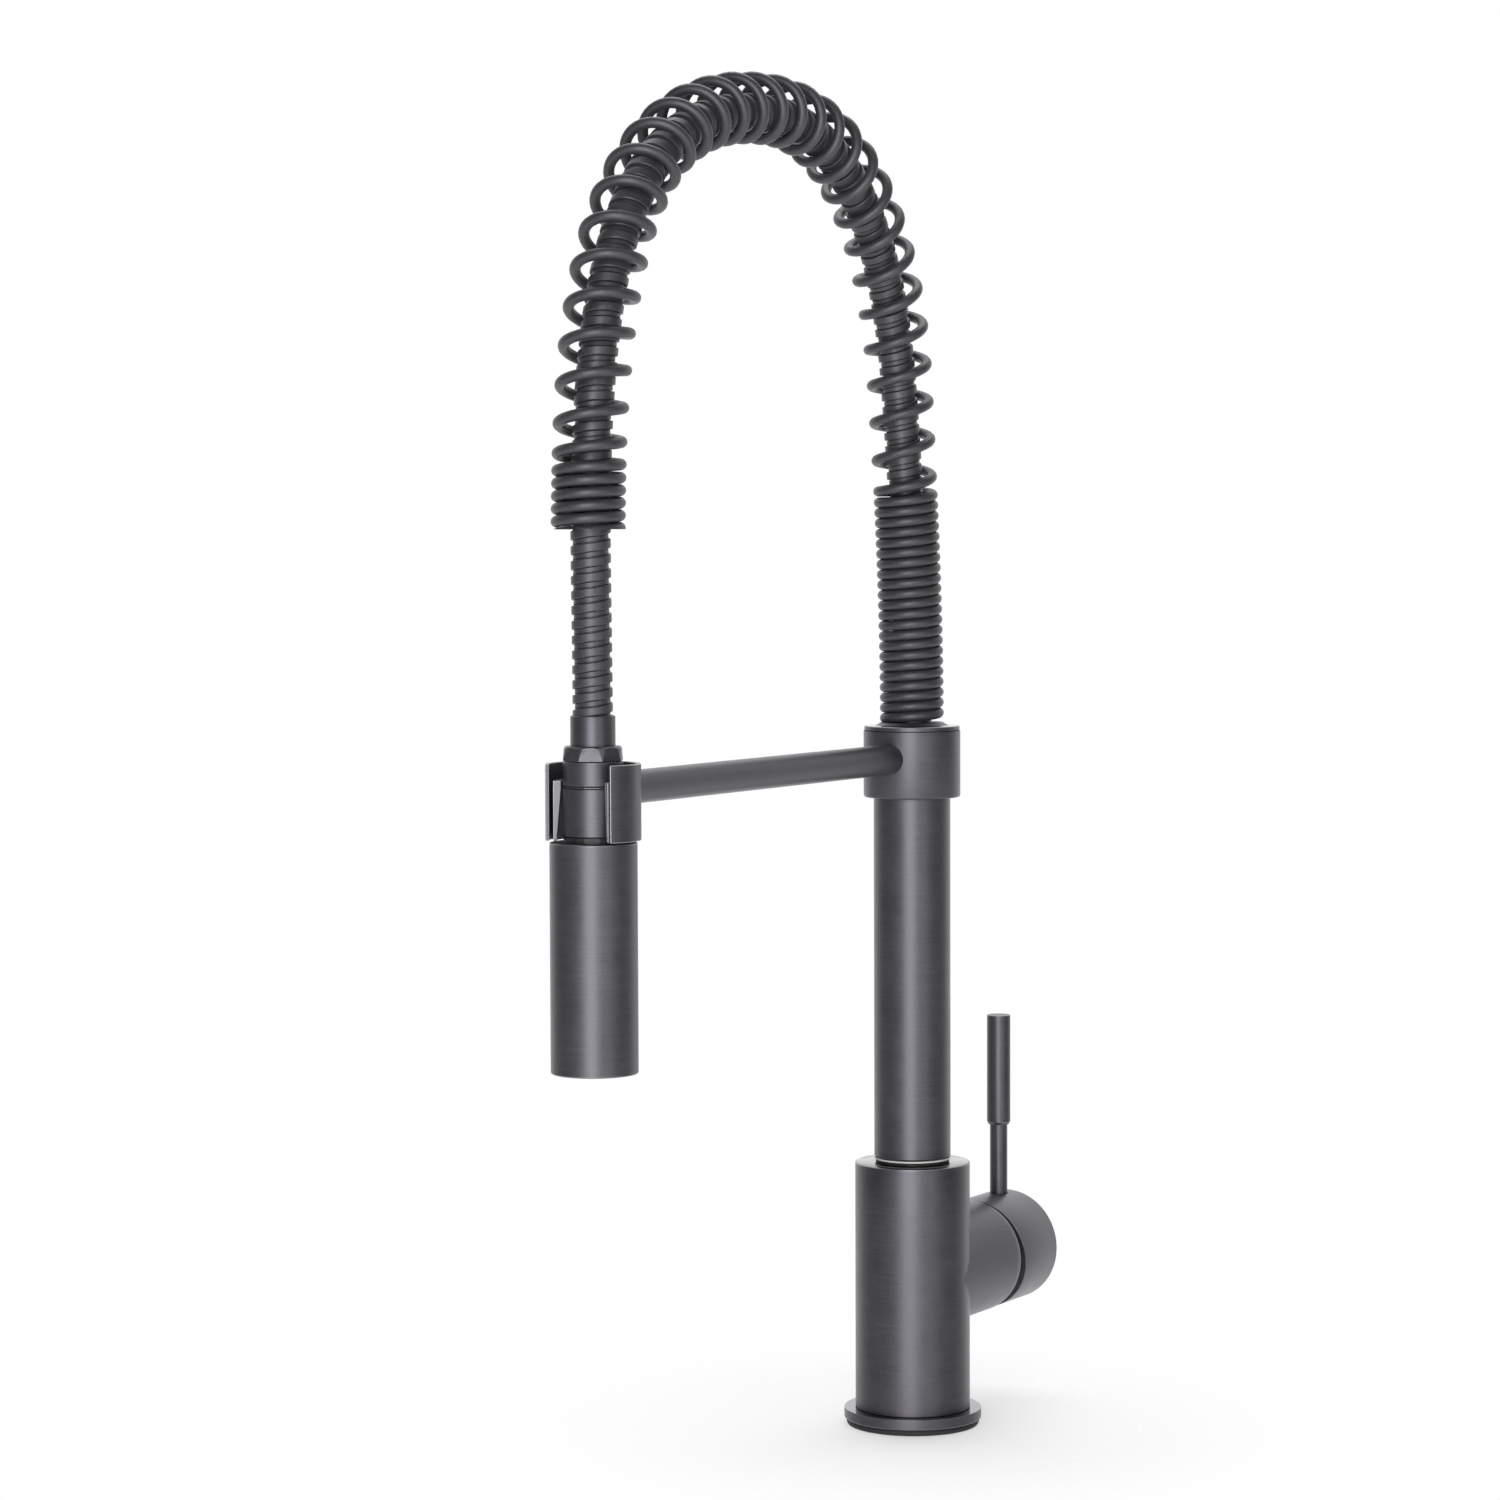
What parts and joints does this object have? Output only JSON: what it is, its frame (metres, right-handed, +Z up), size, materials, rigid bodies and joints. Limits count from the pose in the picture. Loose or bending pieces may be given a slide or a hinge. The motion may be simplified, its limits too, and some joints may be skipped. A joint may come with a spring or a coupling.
{
  "type": "pre-rinse kitchen faucet",
  "caption": "Deck-mounted pre-rinse kitchen faucet: round column, coil spring around a tall arched spray hose, docking arm with an open clip, round spray head and side lever.",
  "frame": {"origin": "centre of the base on the deck plane, where the column's axis meets it", "axes": "+Z up along the column, -Y from the column toward the spray head, +Y toward the lever"},
  "size_m": [0.0576, 0.348, 0.553],
  "materials": {
    "coated_metal": "satin charcoal coating",
    "spring": "satin black coating on round spring wire",
    "hose": "satin black coating on a spiral wound hose",
    "brass": "plain machined",
    "rubber": "matte",
    "black_plastic": "matte moulded",
    "pale_plastic": "natural moulded",
    "steel": "plain machined"
  },
  "bodies": {
    "base": {"faucet_body": "coated_metal", "base_flange": "coated_metal", "base_gasket": "rubber", "inlet_block": "brass", "cartridge_body": "pale_plastic", "cartridge_nut": "brass", "cartridge_shroud": "black_plastic", "swivel_washer": "pale_plastic"},
    "valve_turret": {"cartridge_turret": "pale_plastic", "turret_pin": "steel"},
    "handle": {"handle_cap": "coated_metal", "cartridge_stem": "brass", "handle_screw": "steel", "lever_rod": "coated_metal", "lever_grip": "coated_metal"},
    "spout": {"stem_tube": "coated_metal", "stem_spigot": "brass", "swivel_o_ring_lower": "rubber", "swivel_o_ring_upper": "rubber", "swivel_snap_ring": "steel", "hose_tail": "brass", "arm_collar": "coated_metal", "collar_screw": "steel", "spring_seat": "coated_metal", "docking_arm": "coated_metal", "clip_ring": "coated_metal", "clip_screw": "steel", "clip_liner": "black_plastic", "support_spring": "spring", "spray_hose": "hose"},
    "hose_end": {"swivel_coupling": "coated_metal", "hose_nut": "coated_metal", "hose_ferrule": "coated_metal"},
    "spray_head": {"spray_barrel": "coated_metal", "spray_neck": "coated_metal", "neck_ring": "steel", "neck_washer": "black_plastic", "barrel_core": "pale_plastic", "spray_plate": "black_plastic", "aerator": "steel"}
  },
  "joints": [
    {"name": "spout_swivel", "type": "hinge", "parent": "base", "child": "spout", "pos_m": [0, 0, 0.1107], "axis": [0, 0, 1], "continuous": true},
    {"name": "handle_temperature", "type": "hinge", "parent": "base", "child": "valve_turret", "pos_m": [0, 0.045, 0.0625], "axis": [0, 1, 0], "range_deg": [-45, 45]},
    {"name": "handle_flow", "type": "hinge", "parent": "valve_turret", "child": "handle", "pos_m": [0, 0.045, 0.0625], "axis": [-1, 0, 0], "range_deg": [0, 14]},
    {"name": "sprayer_pull_down", "type": "slide", "parent": "spout", "child": "hose_end", "axis": [0, 0, -1], "range_m": [0, 0.036], "deforming": ["support_spring", "spray_hose"]},
    {"name": "spray_swivel", "type": "hinge", "parent": "hose_end", "child": "spray_head", "pos_m": [0, -0.2438, 0.2805], "axis": [0, 0, 1], "continuous": true}
  ]
}
